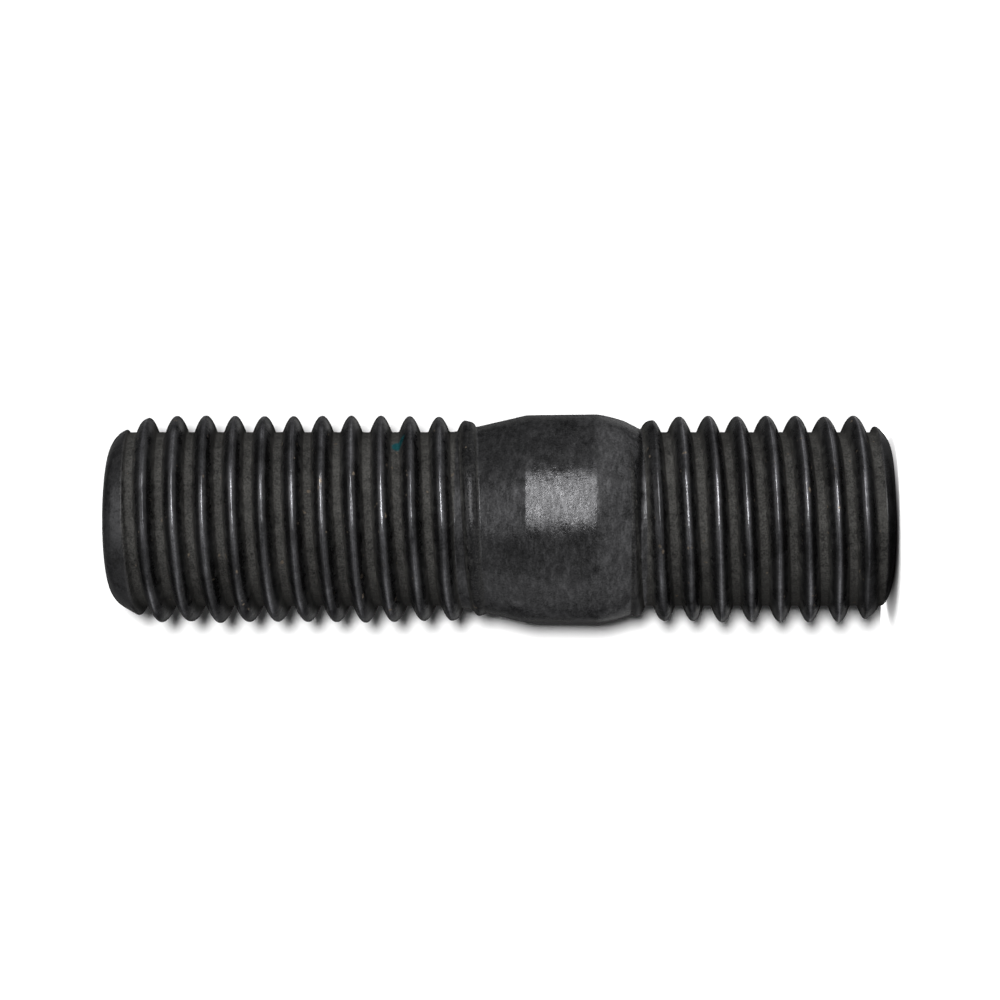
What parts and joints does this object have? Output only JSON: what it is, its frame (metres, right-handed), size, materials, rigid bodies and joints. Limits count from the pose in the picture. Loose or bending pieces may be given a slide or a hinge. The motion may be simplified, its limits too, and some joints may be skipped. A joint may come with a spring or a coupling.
{
  "type": "double ended stud",
  "caption": "Steel double ended stud with a right-hand thread at each end and a plain barrel between them, tapering to the longer nut end.",
  "frame": {"origin": "centre of the metal end's flat face, on which the stud stands", "axes": "+Z along the stud's axis, from the metal end up to the nut end; X and Y are any two directions across it"},
  "size_m": [0.018, 0.018, 0.067],
  "materials": {
    "black_steel": "black oxide over rolled and turned steel, worn brighter on the barrel and the crests"
  },
  "bodies": {
    "root": {"stud": "black_steel"}
  },
  "joints": []
}
